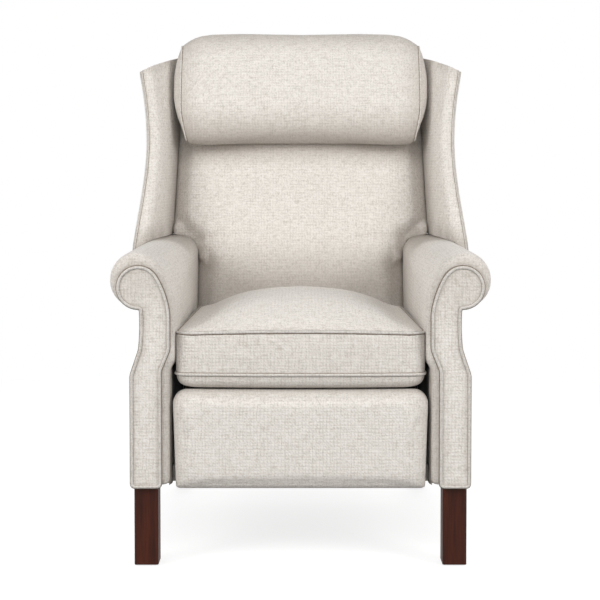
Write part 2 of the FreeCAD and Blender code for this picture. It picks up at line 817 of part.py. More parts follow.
def build_back_frame():
    x1 = rocker_layer_x
    x0 = x1 - post_width
    out0 = post_front_depth - post_depth
    post = back_box(x0, x1, back_low_height, back_top_height - rail_height / 2, out0, post_front_depth)
    save_pair("back_post", post)
    rails = {"back_bottom_rail": back_low_height + rail_height / 2,
             "back_middle_rail": middle_rail_share * back_top_height,
             "back_top_rail": back_top_height - top_rail_drop}
    for name, up in rails.items():
        save(name, back_box(-x0, x0, up, up + rail_height, out0, post_front_depth))
    save("outside_back", outside_back_panel(x1))

    plate_x = rocker_layer_x
    ear = link(hinge, recline_ear_pin, plate_x, [], ear_half_width)
    arm_start = back_point(0, back_low_height, (out0 + post_front_depth) / 2)
    arm_end = back_point(0, bracket_reach, (out0 + post_front_depth) / 2)
    strap = link((arm_start.y, arm_start.z), (arm_end.y, arm_end.z), plate_x, [], strap_half_width)
    gusset = link(hinge, (arm_start.y, arm_start.z), plate_x, [], strap_half_width)
    web = ear.fuse([strap, gusset]).removeSplitter()
    web = drilled(web, [hinge], plate_x)
    web = drilled(web, [recline_ear_pin], plate_x, recline_pin_radius)
    save_pair("back_bracket", web)
    y, z = recline_ear_pin
    pin = rod(y, z, recline_pin_radius - press_gap, plate_x, swing_layer_x + plate_thickness)
    inner = rod(y, z, head_radius, plate_x - head_height, plate_x)
    save_both("recline_pins", pin.fuse(inner).removeSplitter())


def wing_section(up, tip_out, tip_x):
    """A level slice of the wing: it leaves the back's side and flares to a round front edge."""
    root_in = pad_half(up) + wing_gap
    root_out = root_in + wing_root_thickness
    r = wing_tip_radius
    rear = -outside_depth
    crease = pad_front_depth - pad_crown_depth
    nose = tip_out - r
    inner_tip = tip_x - 2 * r
    bulge = wing_outer_bulge
    points = [
        (root_in, rear),
        (root_out, rear),
        (((root_out + tip_x) / 2 - bulge, (rear + nose) / 2), (tip_x, nose)),
        ((tip_x - r, tip_out), (inner_tip, nose)),
        (((root_in + inner_tip) / 2 - bulge, (crease + nose) / 2 + bulge), (root_in, crease)),
    ]
    return closed_profile(points, lambda x, out: back_point(x, up, out))


def build_wings():
    """The wings stand over the arms: cut round the roll at the foot, sloping forward at the top."""
    wires = [wing_section(*station) for station in wing_stations]
    wing = Part.makeLoft(wires, True, True)
    below = box(0, depth, -depth, depth, 0, wing_foot_z)
    roll = Part.makeCylinder(back_rest_z - roll_centre_z, 2 * depth,
                             V(roll_centre_x, -depth, roll_centre_z), V(0, 1, 0))
    inner = box(0, roll_centre_x, -depth, depth, 0, back_rest_z)
    root, tip = [back_point(0, *end) for end in wing_top_line]
    high = 2 * depth
    corners = [V(0, depth, root.z), root, tip, V(0, -depth, tip.z), V(0, -depth, high), V(0, depth, high)]
    above = Part.Face(Part.makePolygon(corners + [corners[0]])).extrude(V(depth, 0, 0))
    save_pair("wing", wing.cut([below, roll, inner, above]))


def bolster_section(x, draw):
    """One slice of the bolster: flat behind, with round ends and a slight swell in front."""
    rear = pad_front_depth + pad_crown_depth + touch_gap
    front = bolster_front_depth - draw / 2
    r = (front - rear) / 2
    k = r * corner_share
    low = bolster_low_height + draw
    high = bolster_high_height - draw
    points = [
        (low + r, rear),
        ((low + k, rear + k), (low, rear + r)),
        ((low + k, front - k), (low + r, front)),
        (((low + high) / 2, front + bolster_swell), (high - r, front)),
        ((high - k, front - k), (high, rear + r)),
        ((high - k, rear + k), (high - r, rear)),
    ]
    return closed_profile(points, lambda up, out: back_point(x, up, out))


def build_bolster():
    """The head bolster: a long pillow with drawn-in, slightly domed ends."""
    left = [bolster_section(x, draw) for x, draw in bolster_stations]
    right = [bolster_section(-x, draw) for x, draw in bolster_stations[::-1]]
    save("head_bolster", Part.makeLoft(left + right, True, True))


build_arm()
build_facing()
build_legs()
build_base_rails()
build_base_plates()
build_swings()
build_seat_frame()
build_cushion()
build_rockers()
build_footrest()
build_inside_back()
build_back_frame()
build_wings()
build_bolster()
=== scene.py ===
"""Looks of the high-leg wing recliner: upholstery, welts, wood and steel on the CAD frame."""
import json
import math

import bmesh
import bpy
from mathutils import Matrix, Vector
from mathutils.kdtree import KDTree


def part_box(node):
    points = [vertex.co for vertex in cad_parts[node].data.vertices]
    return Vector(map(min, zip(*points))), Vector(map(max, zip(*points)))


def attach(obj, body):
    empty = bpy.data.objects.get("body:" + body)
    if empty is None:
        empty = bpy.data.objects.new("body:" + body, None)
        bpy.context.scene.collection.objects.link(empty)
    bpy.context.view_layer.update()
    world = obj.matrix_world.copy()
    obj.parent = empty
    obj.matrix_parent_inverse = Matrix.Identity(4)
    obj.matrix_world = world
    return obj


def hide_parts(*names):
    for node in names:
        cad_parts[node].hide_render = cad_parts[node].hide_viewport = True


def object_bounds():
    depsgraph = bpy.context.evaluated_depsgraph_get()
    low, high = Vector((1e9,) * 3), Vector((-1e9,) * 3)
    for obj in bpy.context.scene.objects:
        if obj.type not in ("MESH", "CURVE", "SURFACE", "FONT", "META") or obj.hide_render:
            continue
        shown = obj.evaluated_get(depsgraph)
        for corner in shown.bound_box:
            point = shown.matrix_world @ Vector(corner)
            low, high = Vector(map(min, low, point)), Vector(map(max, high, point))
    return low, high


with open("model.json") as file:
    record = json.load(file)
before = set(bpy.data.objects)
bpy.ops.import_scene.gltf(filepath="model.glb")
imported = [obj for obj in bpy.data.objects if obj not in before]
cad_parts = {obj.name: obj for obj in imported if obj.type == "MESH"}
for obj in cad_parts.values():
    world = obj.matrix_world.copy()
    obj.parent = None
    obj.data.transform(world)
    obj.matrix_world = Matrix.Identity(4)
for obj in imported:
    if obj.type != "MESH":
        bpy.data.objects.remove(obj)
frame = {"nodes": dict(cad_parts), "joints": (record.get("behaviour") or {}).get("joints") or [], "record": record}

cad_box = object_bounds()
scene = bpy.context.scene
nodes = frame["nodes"]
joints = {j["name"]: j for j in frame["joints"]}

# Lengths are in metres and colours are linear
back_lean = math.radians(17.0)
welt_radius = 0.0032
fine_welt = 0.0026
edge_welt = 0.0018
shadow_power = 1.3
seam_width_share = 1.55
welt_rise = 0.2
seam_sink = 0.75
# How dark the welts' linen is, as painted shade
welt_shade_tone = 0.84
weave_pitch = 0.0072
point_spacing = 0.008
voxel_facing = 0.002
voxel_fine = 0.004
voxel = 0.005
voxel_coarse = 0.006
cloth_frames = 20
smoothing_factor = 0.5
smoothing_loss = 0.0012
end_crease = 0.75
mirror_x = Matrix.Scale(-1, 4, (1, 0, 0))

# Back: heights up along its lean from the hinge, and distances out of its plane
pad_low_up = 0.2835
pad_low_half = 0.3215
pad_high_up = 0.750
pad_high_half = 0.3035
arm_gap_half = 0.256
step_height = 0.663
crease_out = 0.106
pad_face_out = 0.138
pad_rear_out = 0.066
pad_start_out = 0.085
pad_full_out = 0.125
crown_edge = 0.050
crown_draw = 0.013
back_top_up = 0.8169
back_top_half = 0.3000
back_top_hem = 0.027
back_top_rise = 0.004
panel_rear_out = -0.042
back_top_rear_out = panel_rear_out + 0.0085
back_top_front_out = pad_rear_out - 0.0045
panel_low_half = 0.2505
panel_low_up = 0.014
panel_welt_inset = 0.005
post_rear_out = -0.033
post_front_out = 0.064
post_low_up = 0.020
post_cover_step = 0.0635
post_wrap = 0.0008
rail_wrap = 0.0006

# The line of the crease between inside back and wings, as heights up the back
crease_ups = [0.29 + 0.01 * i for i in range(48)]

# Linings of the arms: depth, thickness, and how far the front edge is brought forward and tucked in
lining_depth = 0.290
lining_lift = 0.0012
lining_hem_lift = 0.0001
lining_forward = 0.010
lining_tuck = 0.004
lining_drop = 0.001
lining_step = 0.01215

# The inner top of the arm's rear end as (x, z), with a little room, which the inside back meets.
# Its first points are the rounded edge, and the last two close the filler behind the arm.
arm_shoulder = ((0.235, 0.590), (0.2555, 0.606), (0.2575, 0.622), (0.2655, 0.646), (0.279, 0.6555),
                (0.296, 0.6600), (0.3215, 0.6610), (0.3215, 0.690), (0.235, 0.690))
shoulder_edge = arm_shoulder[:7]

# Seat cushion: its seams above its foot, and how far they and its crown fall at its sides
cushion_low_seam = 0.031
cushion_high_seam = 0.121
cushion_half = 0.262
cushion_sag = 0.006
crown_sag = 0.018
crown_start = 0.002
crown_full = 0.034

# Wings: up, how far out the front edge is and how far from the middle
wing_stations = ((0.180, 0.306, 0.403), (0.250, 0.298, 0.400), (0.330, 0.286, 0.390),
                 (0.420, 0.262, 0.382), (0.512, 0.242, 0.381), (0.600, 0.238, 0.388),
                 (0.690, 0.250, 0.404), (0.800, 0.262, 0.410))
wing_rear_out = -0.042
wing_root = 0.034
wing_face = 0.046
wing_welt_point = 8
wing_welt_offset = 0.001
wing_start_up = 0.28
wing_start_height = 0.46
wing_shares = (0.0, 0.012, 0.05, 0.14, 0.27, 0.41, 0.55, 0.69, 0.82, 0.92, 0.965, 0.99, 1.0)

# The wing's sloping top as (x, z), its lowest height, and the roll of the arm that it rests over
wing_top = ((0.304, 1.118), (0.404, 1.068))
wing_low_z = 0.628
wing_room = 0.0035
wing_room_out = 0.20
roll_x = 0.339
roll_z = 0.598
roll_reach = 0.0605
roll_crest_z = 0.6600

# Bolster: distance from the middle, and how far its foot, top and front are drawn in there
bolster_slices = ((0.0, 0.0, 0.0, 0.0), (0.150, 0.0, 0.0, 0.0), (0.225, 0.000, 0.003, 0.002),
                  (0.253, 0.001, 0.007, 0.004), (0.270, 0.003, 0.013, 0.008),
                  (0.281, 0.006, 0.019, 0.012), (0.290, 0.017, 0.025, 0.017),
                  (0.298, 0.040, 0.031, 0.022), (0.303, 0.055, 0.036, 0.026),
                  (0.311, 0.075, 0.055, 0.034), (0.318, 0.100, 0.085, 0.044),
                  (0.3225, 0.130, 0.115, 0.052))
bolster_seam_x = 0.302
bolster_seam_foot = 0.017
bolster_low = 0.518
bolster_high = 0.820
bolster_rear = 0.151
bolster_face = 0.240
bolster_middle = 0.182
bolster_held_out = 0.156
bolster_power = 2.4
bolster_points = 40

# Colours
linen_light = (0.798, 0.760, 0.715, 1)
linen_mid = (0.702, 0.663, 0.616, 1)
linen_dark = (0.540, 0.496, 0.444, 1)
# Painted shade: brown in seams and creases, near black deep inside the chair, and dark strips of painted shadow
# beside the welts
crease_shade_brown = (0.180, 0.140, 0.100, 1)
deep_shade = (0.010, 0.008, 0.006, 1)
seam_shadow_dark = (0.150, 0.118, 0.088, 1)
seam_shadow_light = (0.270, 0.222, 0.175, 1)
mahogany_dark = (0.030, 0.0080, 0.0042, 1)
mahogany_red = (0.070, 0.0170, 0.0088, 1)
plywood_light = (0.560, 0.400, 0.240, 1)
plywood_dark = (0.400, 0.260, 0.140, 1)
jute_light = (0.420, 0.330, 0.210, 1)
jute_dark = (0.200, 0.150, 0.090, 1)
enamel_dark = (0.010, 0.010, 0.011, 1)
enamel_light = (0.022, 0.022, 0.024, 1)
zinc_dark = (0.42, 0.42, 0.41, 1)
zinc_light = (0.62, 0.62, 0.60, 1)
nylon_dark = (0.012, 0.010, 0.009, 1)
nylon_light = (0.024, 0.020, 0.018, 1)
floor_dark = (0.36, 0.36, 0.36, 1)
floor_light = (0.38, 0.38, 0.38, 1)
black = (0, 0, 0, 1)
white = (1, 1, 1, 1)


class Shader:
    """A material and short calls that add and join its nodes."""

    def __init__(self, name):
        self.material = bpy.data.materials.new(name)
        self.material.use_nodes = True
        self.tree = self.material.node_tree
        self.surface = self.tree.nodes["Principled BSDF"]

    def add(self, kind, values=(), **settings):
        """A new node; values are for its sockets, by name or number, and may be links."""
        node = self.tree.nodes.new("ShaderNode" + kind)
        for key, value in settings.items():
            setattr(node, key, value)
        for key, value in dict(values).items():
            if isinstance(value, bpy.types.NodeSocket):
                self.tree.links.new(value, node.inputs[key])
            else:
                node.inputs[key].default_value = value
        return node

    def math(self, operation, a, b=0.0):
        return self.add("Math", {0: a, 1: b}, operation=operation).outputs[0]

    def middle(self, a, b):
        """The mean of two values."""
        return self.math("MULTIPLY", self.math("ADD", a, b), 0.5)

    def place(self, scale):
        """The object's own coordinates, stretched by three factors."""
        coordinates = self.add("TexCoord").outputs["Object"]
        return self.add("Mapping", {"Vector": coordinates, "Scale": scale}).outputs[0]

    def noise(self, scale, detail=2.0, roughness=0.5):
        """Noise with its own scale, in cells for each metre, along each axis."""
        values = {"Vector": self.place(scale), "Scale": 1.0, "Detail": detail, "Roughness": roughness}
        return self.add("TexNoise", values).outputs["Fac"]

    def remap(self, value, source, target=(0.0, 1.0), **settings):
        """The value, brought from one range to another."""
        values = {0: value, 1: source[0], 2: source[1], 3: target[0], 4: target[1]}
        return self.add("MapRange", values, **settings).outputs[0]

    def ramp(self, factor, stops):
        """A colour for the factor, from (position, colour) stops."""
        node = self.add("ValToRGB", {"Fac": factor})
        elements = node.color_ramp.elements
        while len(elements) < len(stops):
            elements.new(0.5)
        for element, (position, colour) in zip(elements, stops):
            element.position = position
            element.color = colour
        return node.outputs["Color"]

    def mix(self, factor, a, b):
        """Colour a where the factor is 0 and colour b where it is 1."""
        values = {"Factor": factor, 6: a, 7: b}
        return self.add("Mix", values, data_type="RGBA").outputs[2]

    def bump(self, height, strength, distance):
        values = {"Height": height, "Strength": strength, "Distance": distance}
        return self.add("Bump", values).outputs[0]

    def finish(self, colour, normal=None, roughness=None, **values):
        """Links what varies over the surface, and sets the other sockets to plain values."""
        for socket, source in (("Base Color", colour), ("Normal", normal), ("Roughness", roughness)):
            if source is not None:
                self.tree.links.new(source, self.surface.inputs[socket])
        for name, value in values.items():
            self.surface.inputs[name.replace("_", " ")].default_value = value
        return self.material


def weave(s, pitch):
    """Height of a plain weave of two threads, laid on each surface by the way that it faces."""
    wander = pitch * 0.7
    place = s.add("TexCoord")
    wobble = s.add("TexNoise", {"Vector": place.outputs["Object"], "Scale": 60.0, "Detail": 1.0})
    shift = s.add("VectorMath", {0: wobble.outputs["Color"], 1: (wander,) * 3}, operation="MULTIPLY")
    moved = s.add("VectorMath", {0: place.outputs["Object"], 1: shift.outputs[0]}, operation="ADD")
    turned = s.add("VectorMath", {0: moved.outputs[0], "Scale": math.tau / pitch}, operation="SCALE")
    phases = s.add("SeparateXYZ", {0: turned.outputs[0]}).outputs
    waves = [s.math("SINE", phases[i]) for i in range(3)]
    faces = s.add("SeparateXYZ", {0: place.outputs["Normal"]}).outputs
    total = None
    for i in range(3):
        share = s.math("POWER", s.math("ABSOLUTE", faces[i]), 4.0)
        warp, weft = waves[(i + 1) % 3], waves[(i + 2) % 3]
        cell = s.math("MULTIPLY", s.math("MULTIPLY", warp, weft), 0.5)
        cell = s.math("ADD", cell, s.middle(warp, weft))
        part = s.math("MULTIPLY", share, cell)
        total = part if total is None else s.math("ADD", total, part)
    return total


def linen(name="linen", shade_tone=1.0):
    """Heathered linen: a plain weave, slubs along each axis, and painted brown shade, down to near black, in
    seams, creases and places that light hardly reaches; a tone below 1 darkens all of it as painted shade.
    """
    s = Shader(name)
    dark, mid, light = [tuple(c * shade_tone for c in colour) for colour in (linen_dark, linen_mid, linen_light)]
    thread = 420.0
    run = 60.0
    mottle_share = 0.15
    weave_share = 0.048
    threads = None
    for scale in ((run, thread, thread), (thread, run, thread), (thread, thread, run)):
        streak = s.noise(scale, detail=1.0)
        threads = streak if threads is None else s.math("ADD", threads, streak)
    threads = s.math("MULTIPLY", threads, 1 / 3)
    cells = weave(s, weave_pitch)
    mottle = s.noise((90.0, 90.0, 90.0), detail=2.0, roughness=0.6)
    heather = s.math("ADD", s.math("MULTIPLY", threads, 1 - mottle_share),
                     s.math("MULTIPLY", mottle, mottle_share))
    heather = s.math("ADD", heather, s.math("MULTIPLY", cells, weave_share))
    colour = s.ramp(heather, ((0.37, dark), (0.50, mid), (0.62, light)))
    # Painted shade from the mesh: 0 leaves the linen as it is, and higher values mix in brown shade that is near
    # black at 1
    painted_shade = s.add("Attribute", attribute_name="painted_shade").outputs["Fac"]
    brown = s.ramp(painted_shade, ((0.70, crease_shade_brown), (0.98, deep_shade)))
    colour = s.mix(painted_shade, colour, brown)
    fine = s.noise((900.0, 900.0, 900.0), detail=1.0)
    height = s.math("ADD", s.math("MULTIPLY", threads, 1.3), s.math("MULTIPLY", fine, 0.3))
    height = s.math("ADD", height, s.math("MULTIPLY", cells, 0.40))
    normal = s.bump(height, strength=0.6, distance=0.0012)
    return s.finish(colour, normal, Roughness=0.95, Sheen_Weight=0.12, Sheen_Roughness=0.6)


def seam_shadow_strip():
    """Painted shadow: dark linen for the thin strips beside each welt, standing in for the shade in the fold under
    the cord.
    """
    s = Shader("seam_shadow_strip")
    threads = s.noise((300.0, 300.0, 300.0), detail=1.0)
    colour = s.ramp(threads, ((0.35, seam_shadow_dark), (0.65, seam_shadow_light)))
    return s.finish(colour, s.bump(threads, strength=0.4, distance=0.001), Roughness=0.95)


def wood(name, dark, light, coat, scale=1.0):
    """Straight-grained wood along Z with pores and worn, lighter streaks."""
    s = Shader(name)
    ring = 90.0 * scale
    grain = s.noise((ring, ring, 5.0 * scale), detail=5.0, roughness=0.65)
    pores = s.noise((700.0, 700.0, 22.0), detail=1.0)
    colour = s.ramp(grain, ((0.35, dark), (0.68, light)))
    pore_mask = s.ramp(pores, ((0.34, white), (0.42, black)))
    colour = s.mix(s.math("MULTIPLY", pore_mask, 0.5), colour, dark)
    normal = s.bump(s.math("ADD", grain, pores), strength=0.12, distance=0.0006)
    roughness = s.remap(grain, (0.3, 0.7), (0.42, 0.60))
    return s.finish(colour, normal, roughness, Coat_Weight=coat, Coat_Roughness=0.25,
                    Specular_IOR_Level=0.12)


def steel(name, dark, light, metallic, shine):
    """Pressed steel with faint scuffs and an uneven finish; shine is its range of roughness."""
    s = Shader(name)
    cloud = s.noise((60.0, 60.0, 60.0), detail=4.0, roughness=0.6)
    scratch = s.noise((40.0, 700.0, 900.0), detail=2.0)
    colour = s.ramp(s.middle(cloud, scratch), ((0.35, dark), (0.65, light)))
    roughness = s.remap(cloud, (0.3, 0.7), shine)
    normal = s.bump(scratch, strength=0.08, distance=0.0004)
    return s.finish(colour, normal, roughness, Metallic=metallic)


def webbing():
    """Woven straps: coarse ribs across and a lighter fleck."""
    s = Shader("webbing")
    ribs = s.noise((420.0, 420.0, 420.0), detail=1.0)
    cloud = s.noise((45.0, 45.0, 45.0), detail=3.0)
    colour = s.ramp(s.middle(ribs, cloud), ((0.38, jute_dark), (0.62, jute_light)))
    return s.finish(colour, s.bump(ribs, strength=0.5, distance=0.001), Roughness=0.9)


def nylon():
    """Dull dark nylon of the glides."""
    s = Shader("nylon")
    cloud = s.noise((120.0, 120.0, 120.0), detail=3.0)
    colour = s.ramp(cloud, ((0.3, nylon_dark), (0.7, nylon_light)))
    return s.finish(colour, s.bump(cloud, strength=0.1, distance=0.0005), Roughness=0.5)


materials = {
    "upholstery": linen(),
    "leg_wood": wood("mahogany", mahogany_dark, mahogany_red, coat=0.05),
    "frame_wood": wood("plywood", plywood_dark, plywood_light, coat=0.0, scale=0.6),
    "webbing": webbing(),
    "linkage_steel": steel("black_enamel", enamel_dark, enamel_light, metallic=0.0, shine=(0.28, 0.45)),
    "fastener_steel": steel("zinc", zinc_dark, zinc_light, metallic=1.0, shine=(0.25, 0.42)),
    "glide": nylon(),
}
# Painted shadow for the strips beside the welts, and linen darkened as painted shade for their cords
seam_shadow_material = seam_shadow_strip()
shaded_welt_material = linen("shaded_welt_linen", welt_shade_tone)


def dress(obj, slot_name):
    """Gives an object the material of a slot."""
    obj.data.materials.clear()
    obj.data.materials.append(materials[slot_name])


def dress_frame():
    """Every CAD node takes the material of its slot in the record."""
    for subpart in frame["record"]["subparts"]:
        dress(nodes[subpart["node"]], subpart["material_slot"])


def evaluated_copy(obj, name):
    """A new object with the modifiers of obj applied."""
    graph = bpy.context.evaluated_depsgraph_get()
    mesh = bpy.data.meshes.new_from_object(obj.evaluated_get(graph))
    copy = bpy.data.objects.new(name, mesh)
    scene.collection.objects.link(copy)
    return copy


def remeshed(name, sources, size, smoothing):
    """A soft start for a piece: one or more closed solids joined in an even net of small faces."""
    mesh = bmesh.new()
    for source in sources:
        mesh.from_mesh(source.data)
    joined = bpy.data.meshes.new(name + "_start")
    mesh.to_mesh(joined)
    mesh.free()
    start = bpy.data.objects.new(name + "_start", joined)
    scene.collection.objects.link(start)
    remesh = start.modifiers.new("even", "REMESH")
    remesh.mode = "VOXEL"
    remesh.voxel_size = size
    smooth = start.modifiers.new("smooth", "SMOOTH")
    smooth.factor = smoothing_factor
    smooth.iterations = smoothing
    bpy.context.view_layer.update()
    piece = evaluated_copy(start, name)
    bpy.data.objects.remove(start)
    return piece


def inflate(obj, pinned, pressure, cap, axis=None):
    """Blows the piece up as cloth; pinned(point) says which points stay, and none moves more than cap.
    With an axis, only the swelling along it is kept, so the outline stays."""
    pins = obj.vertex_groups.new(name="pins")
    pins.add([v.index for v in obj.data.vertices if pinned(v.co)], 1.0, "REPLACE")
    cloth = obj.modifiers.new("cloth", "CLOTH")
    settings = cloth.settings
    settings.vertex_group_mass = pins.name
    settings.use_pressure = True
    settings.uniform_pressure_force = pressure
    settings.effector_weights.gravity = 0
    cloth.point_cache.frame_start = 1
    cloth.point_cache.frame_end = cloth_frames
    for step in range(1, cloth_frames + 1):
        scene.frame_set(step)
    graph = bpy.context.evaluated_depsgraph_get()
    blown = [v.co.copy() for v in obj.evaluated_get(graph).data.vertices]
    obj.modifiers.remove(cloth)
    for vertex, target in zip(obj.data.vertices, blown):
        move = target - vertex.co
        if axis is not None:
            move = axis * max(move.dot(axis), 0.0)
        if move.length > cap:
            move *= cap / move.length
        vertex.co += move
    scene.frame_set(1)


def puff(obj, distance):
    """Moves every point outwards, which gives back what smoothing took."""
    normals = [n.vector.copy() for n in obj.data.vertex_normals]
    for vertex, normal in zip(obj.data.vertices, normals):
        vertex.co += normal * distance


def relax(obj, rounds):
    """Evens out a mesh, as cloth does over its filling."""
    mesh = bmesh.new()
    mesh.from_mesh(obj.data)
    for _ in range(rounds):
        bmesh.ops.smooth_vert(mesh, verts=mesh.verts, factor=smoothing_factor, use_axis_x=True,
                              use_axis_y=True, use_axis_z=True)
    mesh.to_mesh(obj.data)
    mesh.free()


def finish_piece(obj, body, replaced=(), subdivide=True):
    """Linen, smooth shading, the body it rides on and the nodes it stands for."""
    dress(obj, "upholstery")
    for polygon in obj.data.polygons:
        polygon.use_smooth = True
    if subdivide:
        finer = obj.modifiers.new("smooth", "SUBSURF")
        finer.levels = 1
        finer.render_levels = 1
    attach(obj, body)
    if replaced:
        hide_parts(*replaced)


def mirrored(obj, name):
    """The same piece on the other side of the chair."""
    copy = bpy.data.objects.new(name, obj.data.copy())
    copy.data.transform(mirror_x)
    copy.data.flip_normals()
    scene.collection.objects.link(copy)
    return copy


def mirrored_lines(lines):
    """The same lines on the other side of the chair."""
    return [[mirror_x @ p for p in line] for line in lines]


def edge_neighbours(edges):
    """Which points each point is joined to by the edges."""
    neighbours = {}
    for edge in edges:
        a, b = edge.verts
        neighbours.setdefault(a, []).append(b)
        neighbours.setdefault(b, []).append(a)
    return neighbours


def section_loop(obj, point, normal):
    """The longest closed line where a plane cuts the piece, as ordered points."""
    mesh = bmesh.new()
    mesh.from_mesh(obj.data)
    everything = mesh.verts[:] + mesh.edges[:] + mesh.faces[:]
    cut = bmesh.ops.bisect_plane(mesh, geom=everything, plane_co=point, plane_no=normal)["geom_cut"]
    neighbours = edge_neighbours(g for g in cut if isinstance(g, bmesh.types.BMEdge))
    loops = []
    left = dict.fromkeys(neighbours)
    while left:
        vertex = next(iter(left))
        chain = []
        while vertex is not None:
            chain.append(vertex)
            del left[vertex]
            vertex = next((n for n in neighbours[vertex] if n in left), None)
        loops.append([v.co.copy() for v in chain])
    mesh.free()
    return max(loops, key=len)


def thinned(points, spacing=point_spacing, closed=True):
    """The same line with points at an even spacing."""
    path = list(points) + ([points[0]] if closed else [])
    lengths = [0.0]
    for a, b in zip(path, path[1:]):
        lengths.append(lengths[-1] + (b - a).length)
    count = max(4, round(lengths[-1] / spacing))
    result = []
    index = 0
    for step in range(count if closed else count + 1):
        target = lengths[-1] * step / count
        while index < len(lengths) - 2 and lengths[index + 1] < target:
            index += 1
        span = max(lengths[index + 1] - lengths[index], 1e-9)
        share = (target - lengths[index]) / span
        result.append(path[index].lerp(path[index + 1], share))
    return result


def softened(points, rounds, closed=True):
    """The same line with its small kinks drawn out; the ends of an open line stay."""
    count = len(points)
    for _ in range(rounds):
        drawn = [(points[i - 1] + points[i] * 2 + points[(i + 1) % count]) / 4 for i in range(count)]
        if not closed:
            drawn[0], drawn[-1] = points[0], points[-1]
        points = drawn
    return points


def strip(name, points, body, closed, radius, material):
    """A thin round strip along a line."""
    curve = bpy.data.curves.new(name, "CURVE")
    curve.dimensions = "3D"
    curve.bevel_depth = radius
    curve.bevel_resolution = 3
    curve.use_fill_caps = not closed
    spline = curve.splines.new("NURBS")
    spline.points.add(len(points) - 1)
    for target, p in zip(spline.points, points):
        target.co = (*p, 1)
    spline.order_u = 3
    spline.use_cyclic_u = closed
    spline.use_endpoint_u = not closed
    obj = bpy.data.objects.new(name, curve)
    scene.collection.objects.link(obj)
    curve.materials.append(material)
    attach(obj, body)


def welt(name, points, under, body, closed=True, radius=welt_radius):
    """A fabric-covered cord on one line, in linen darkened as painted shade, over a wider strip of painted shadow
    on the line under it, which shows as a thin dark edge on each side.
    """
    strip(name, points, body, closed, radius, shaded_welt_material)
    strip(name + "_seam", under, body, closed, radius * seam_width_share, seam_shadow_material)


def sewn_on(piece, points, radius=welt_radius):
    """The two lines of a welt that lies on the surface of a piece."""
    return settled(piece, points, radius * welt_rise), settled(piece, points, -radius * seam_sink)


def shadow(points, reach, depth):
    """A shadow round some points: how far it reaches, and how dark it is at the points."""
    return points, reach, depth


def shade(obj, *shadows, everywhere=0.0):
    """Writes how much painted shade each point takes, from an even amount everywhere and from shadows round seams,
    creases and places that light hardly reaches; the linen turns it into brown shade.
    """
    values = [everywhere] * len(obj.data.vertices)
    for points, reach, depth in shadows:
        tree = KDTree(len(points))
        for i, p in enumerate(points):
            tree.insert(p, i)
        tree.balance()
        for i, vertex in enumerate(obj.data.vertices):
            distance = tree.find(vertex.co)[2]
            if distance < reach:
                near = 1 - distance / reach
                amount = min(depth * near ** shadow_power, 1.0)
                values[i] = 1 - (1 - values[i]) * (1 - amount)
    layer = obj.data.attributes.new("painted_shade", "FLOAT", "POINT")
    layer.data.foreach_set("value", values)


def skin(name, rows, smoothing=0):
    """A closed skin over rings of points, with both ends closed."""
    mesh = bmesh.new()
    rings = [[mesh.verts.new(p) for p in row] for row in rows]
    for a, b in zip(rings, rings[1:]):
        for i in range(len(a)):
            j = (i + 1) % len(a)
            mesh.faces.new((a[i], a[j], b[j], b[i]))
    mesh.faces.new(rings[0][::-1])
    mesh.faces.new(rings[-1])
    crease = mesh.edges.layers.float.new("crease_edge")
    for ring in (rings[0], rings[-1]):
        for a, b in zip(ring, ring[1:] + ring[:1]):
            mesh.edges.get((a, b))[crease] = end_crease
    bmesh.ops.recalc_face_normals(mesh, faces=mesh.faces)
    data = bpy.data.meshes.new(name)
    mesh.to_mesh(data)
    mesh.free()
    obj = bpy.data.objects.new(name if not smoothing else name + "_start", data)
    scene.collection.objects.link(obj)
    if not smoothing:
        return obj
    obj.modifiers.new("round", "SUBSURF").levels = smoothing
    bpy.context.view_layer.update()
    smooth = evaluated_copy(obj, name)
    bpy.data.objects.remove(obj)
    return smooth


def settled(piece, points, lift=0.0):
    """The same line, moved onto the surface of the piece and out of it by lift."""
    result = []
    for p in points:
        _, place, normal, _ = piece.closest_point_on_mesh(p)
        result.append(place + normal * lift)
    return result


hinge = Vector((0, *joints["back_recline"]["pos_m"][1:]))
up_axis = Vector((0, math.sin(back_lean), math.cos(back_lean)))
out_axis = Vector((0, -math.cos(back_lean), math.sin(back_lean)))


def back_point(x, up, out):
    """The place at x, so far up along the lean of the back from its hinge and so far out of its plane."""
    return Vector((x, 0, 0)) + hinge + up_axis * up + out_axis * out


def back_up(p):
    """How far up the back a point is."""
    return (p - hinge).dot(up_axis)


def back_out(p):
    """How far out of the plane of the back a point is."""
    return (p - hinge).dot(out_axis)


def across(count, y, z):
    """Points a centimetre apart, count of them on each side of the middle."""
    return [Vector((0.01 * i, y, z)) for i in range(-count, count + 1)]


def across_back(count, up, out):
    """The same, at a place on the back."""
    return [back_point(0.01 * i, up, out) for i in range(-count, count + 1)]


def up_at(z, out):
    """How far up the back the height z is, at a given distance out."""
    return (z - hinge.z - out * out_axis.z) / up_axis.z


def between(value, low, high):
    """0 below low, 1 above high, and a smooth step from one to the other."""
    share = min(max((value - low) / (high - low), 0.0), 1.0)
    return share * share * (3 - 2 * share)


def along(table, key):
    """The row of a table at a key, between its two neighbours in the first column."""
    if key <= table[0][0]:
        return table[0][1:]
    for a, b in zip(table, table[1:]):
        if key <= b[0]:
            share = (key - a[0]) / (b[0] - a[0])
            return [x + (y - x) * share for x, y in zip(a[1:], b[1:])]
    return table[-1][1:]


def pad_half(up):
    """Half the width of the upper inside back."""
    return along(((pad_low_up, pad_low_half), (pad_high_up, pad_high_half)), up)[0]


def sagged(p, low_seam, high_seam):
    """The seams of the cushion fall a little towards its sides, and its crown more."""
    beside = min(abs(p.x) / cushion_half, 1.0)
    fall = cushion_sag * beside ** 2 * between(p.z, low_seam, high_seam)
    fall += crown_sag * beside ** 1.5 * between(p.z, high_seam + crown_start, high_seam + crown_full)
    return Vector((p.x, p.y, p.z - fall))


